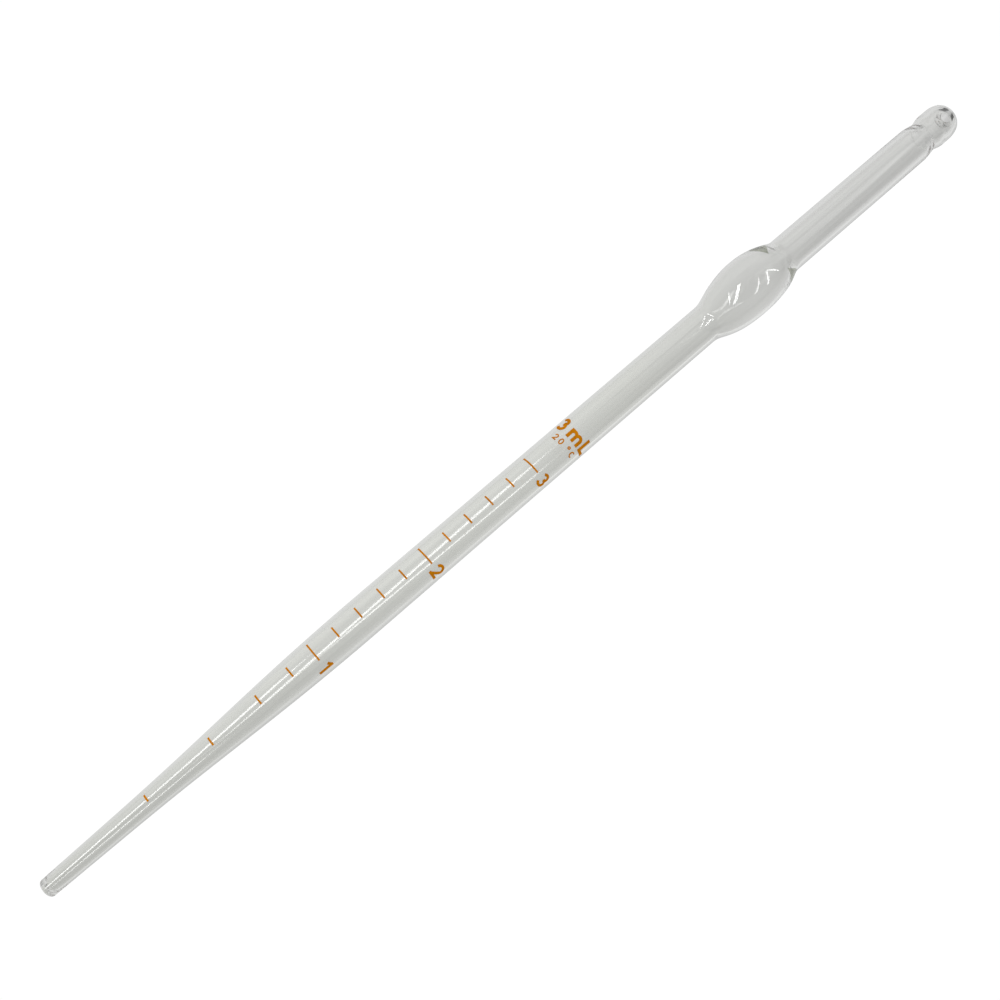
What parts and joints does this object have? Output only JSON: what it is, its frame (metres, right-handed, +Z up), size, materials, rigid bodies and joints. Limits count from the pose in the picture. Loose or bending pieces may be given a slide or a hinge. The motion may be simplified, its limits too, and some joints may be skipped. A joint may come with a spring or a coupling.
{
  "type": "graduated dropping pipette",
  "caption": "Graduated clear glass dropping pipette with a drawn tip, fired amber scale, blown safety bulb and a suction stem with a beaded mouthpiece for a rubber bulb.",
  "frame": {"origin": "on the surface that the pipette lies on, under the middle of its length", "axes": "+X along the pipette's axis from the tip to the mouth, +Z up, with the scale facing up"},
  "size_m": [0.25, 0.0134, 0.0134],
  "materials": {
    "clear_glass": "clear drawn borosilicate glass, fire-polished, faint lengthwise draw lines",
    "amber_stain": "fired amber marking, glossy, level with the glass to the touch"
  },
  "bodies": {
    "root": {"barrel_tube": "clear_glass", "suction_stem": "clear_glass", "graduation_0_2": "amber_stain", "graduation_0_4": "amber_stain", "graduation_0_6": "amber_stain", "graduation_0_8": "amber_stain", "graduation_1_0": "amber_stain", "graduation_1_2": "amber_stain", "graduation_1_4": "amber_stain", "graduation_1_6": "amber_stain", "graduation_1_8": "amber_stain", "graduation_2_0": "amber_stain", "graduation_2_2": "amber_stain", "graduation_2_4": "amber_stain", "graduation_2_6": "amber_stain", "graduation_2_8": "amber_stain", "graduation_3_0": "amber_stain", "numeral_1": "amber_stain", "numeral_2": "amber_stain", "numeral_3": "amber_stain", "capacity_mark": "amber_stain", "temperature_mark": "amber_stain"}
  },
  "joints": []
}
